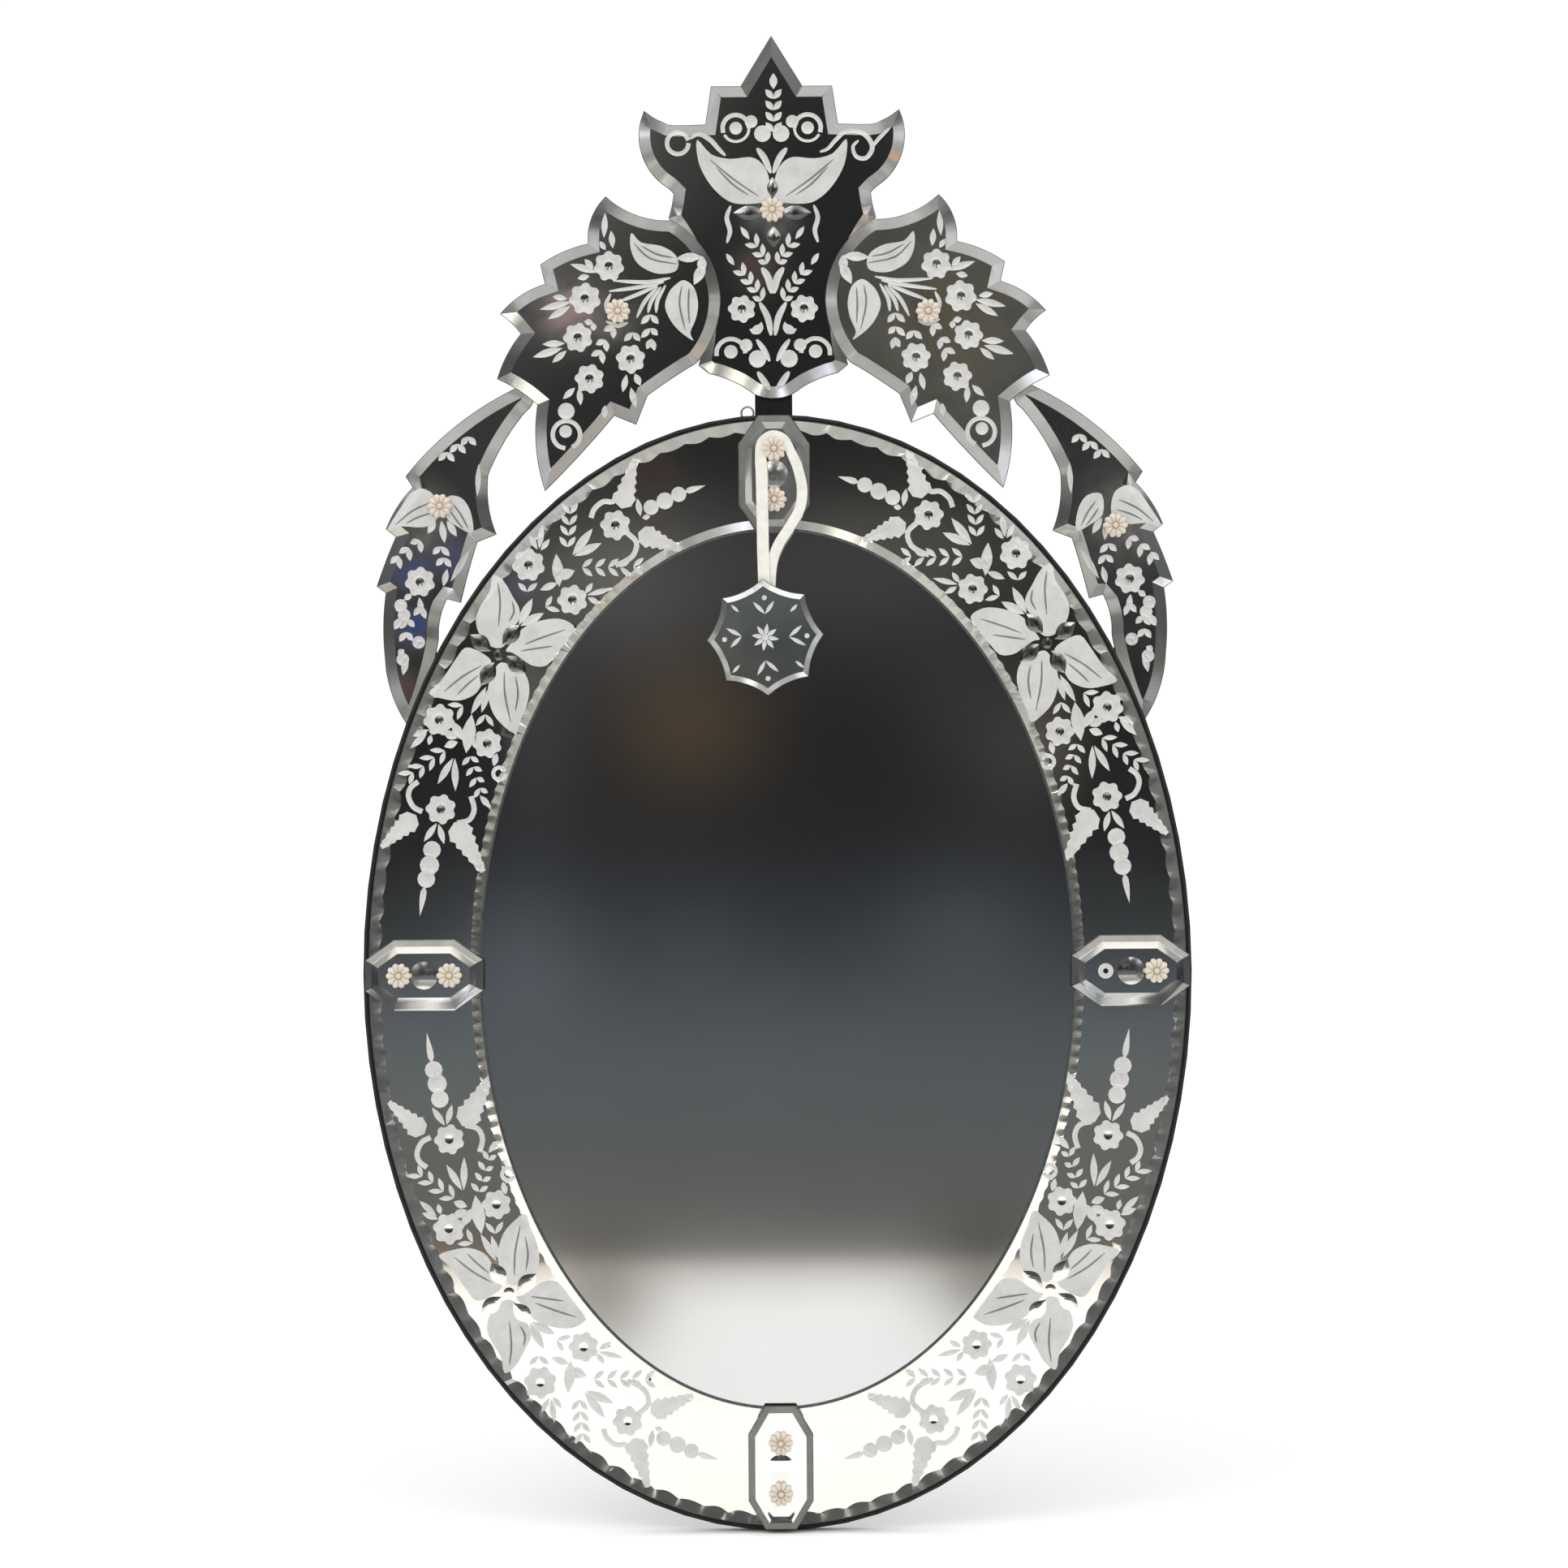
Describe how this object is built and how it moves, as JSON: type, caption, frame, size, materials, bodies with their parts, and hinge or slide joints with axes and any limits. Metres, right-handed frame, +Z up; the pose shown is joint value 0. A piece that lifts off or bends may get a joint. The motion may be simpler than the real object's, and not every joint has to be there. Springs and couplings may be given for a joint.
{
  "type": "oval wall mirror with glass crest",
  "caption": "Tall oval wall mirror with a bevelled, engraved mirror-glass border, corner cover plates held by glass rosettes, a leafy glass crest and an engraved pendant on a ribbon.",
  "frame": {"origin": "middle of the hanging plate's back face, between its two keyholes; the plane y = 0 is the wall", "axes": "+Z up along the mirror's height, +X to the viewer's right, +Y into the wall, so the mirror faces -Y"},
  "size_m": [0.64, 0.0542, 1.157],
  "materials": {
    "mirror_glass": "polished, flat silvered glass",
    "border_mirror": "silvered glass, ground bevels and satin engraving",
    "crest_mirror": "silvered glass, ground bevels and satin engraving",
    "cover_mirror": "silvered glass with a wide ground bevel",
    "pendant_mirror": "silvered glass, engraved",
    "black_board": "painted black, satin",
    "stained_wood": "dark stain, matt",
    "rosette_glass": "moulded opaque glass, cream",
    "ribbon_cloth": "flat woven tape",
    "hanger_steel": "plated steel"
  },
  "bodies": {
    "root": {"backing_board": "black_board", "centre_mirror": "mirror_glass", "border_upper_right": "border_mirror", "border_upper_left": "border_mirror", "border_lower_left": "border_mirror", "border_lower_right": "border_mirror", "cover_plate_top": "cover_mirror", "cover_plate_left": "cover_mirror", "cover_plate_right": "cover_mirror", "cover_plate_bottom": "cover_mirror", "rosette_top_outer": "rosette_glass", "rosette_top_inner": "rosette_glass", "rosette_left_outer": "rosette_glass", "rosette_left_inner": "rosette_glass", "rosette_right_outer": "rosette_glass", "rosette_bottom_outer": "rosette_glass", "rosette_bottom_inner": "rosette_glass", "crest_plate": "crest_mirror", "leaf_plate_left": "crest_mirror", "leaf_plate_right": "crest_mirror", "wing_plate_left": "crest_mirror", "wing_plate_right": "crest_mirror", "wing_board_left": "black_board", "wing_board_right": "black_board", "rosette_crest": "rosette_glass", "rosette_leaf_left": "rosette_glass", "rosette_leaf_right": "rosette_glass", "rosette_wing_left": "rosette_glass", "rosette_wing_right": "rosette_glass", "crest_strut": "black_board", "crest_batten_left": "black_board", "crest_batten_right": "black_board", "leaf_pad_left": "black_board", "leaf_pad_right": "black_board", "hanging_batten": "stained_wood", "lower_batten": "stained_wood", "hanging_plate": "hanger_steel", "wire_eye": "hanger_steel", "pendant_ribbon": "ribbon_cloth", "pendant": "pendant_mirror"}
  },
  "joints": []
}
